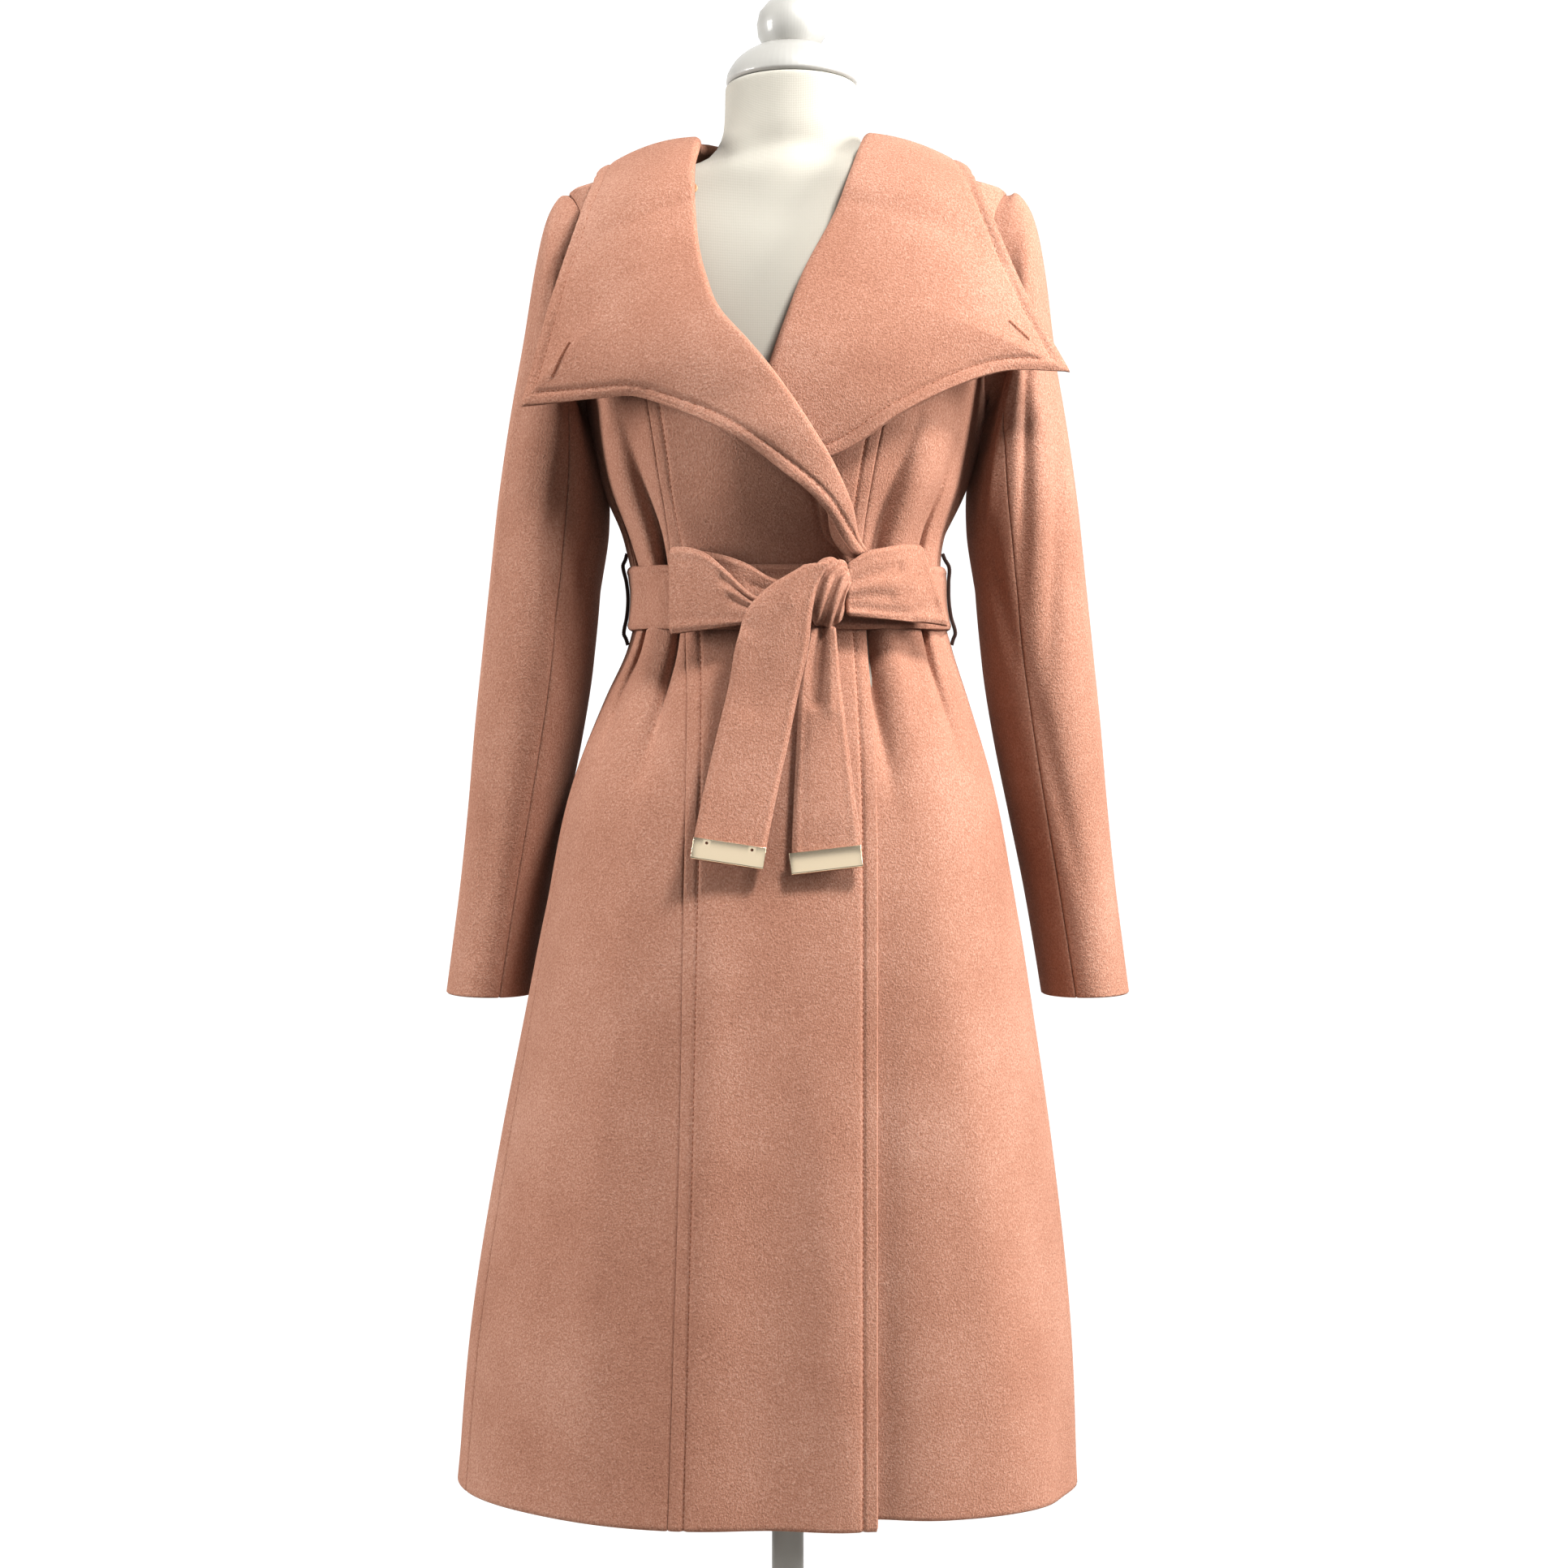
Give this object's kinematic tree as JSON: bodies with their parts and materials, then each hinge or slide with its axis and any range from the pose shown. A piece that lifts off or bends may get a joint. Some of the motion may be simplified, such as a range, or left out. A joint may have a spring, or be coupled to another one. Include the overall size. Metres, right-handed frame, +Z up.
{
  "type": "wrap coat on a dress form",
  "caption": "Knee-length pink camel wool wrap coat with wide wing collar, princess seams and a tied belt with metal ends, on an ivory dress form with a white stand.",
  "frame": {"origin": "centre of the stand's base on the floor", "axes": "+Z up along the pole; the coat faces -Y and the wearer's left is +X"},
  "size_m": [0.552, 0.36, 1.486],
  "materials": {
    "wool_melton": "napped wool melton, matt with a soft sheen",
    "linen_cover": "plain ivory linen",
    "white_paint": "satin white paint",
    "pale_metal": "polished, pale gold tone",
    "brown_thread": "twisted thread",
    "tan_horn": "satin"
  },
  "bodies": {
    "root": {"front_right_centre": "wool_melton", "front_right_side": "wool_melton", "front_left_centre": "wool_melton", "front_left_side": "wool_melton", "back_right": "wool_melton", "back_left": "wool_melton", "sleeve_right_upper": "wool_melton", "sleeve_right_under": "wool_melton", "sleeve_left_upper": "wool_melton", "sleeve_left_under": "wool_melton", "collar_right": "wool_melton", "collar_left": "wool_melton", "belt_band": "wool_melton", "bow_loop_right": "wool_melton", "bow_loop_left": "wool_melton", "belt_knot": "wool_melton", "belt_tail_right": "wool_melton", "belt_tail_left": "wool_melton", "belt_tip_right": "pale_metal", "belt_tip_left": "pale_metal", "carrier_right": "brown_thread", "carrier_left": "brown_thread", "collar_button": "tan_horn", "form_torso": "linen_cover", "form_cap": "white_paint", "form_finial": "white_paint", "stand_pole": "white_paint", "stand_base": "white_paint"}
  },
  "joints": []
}
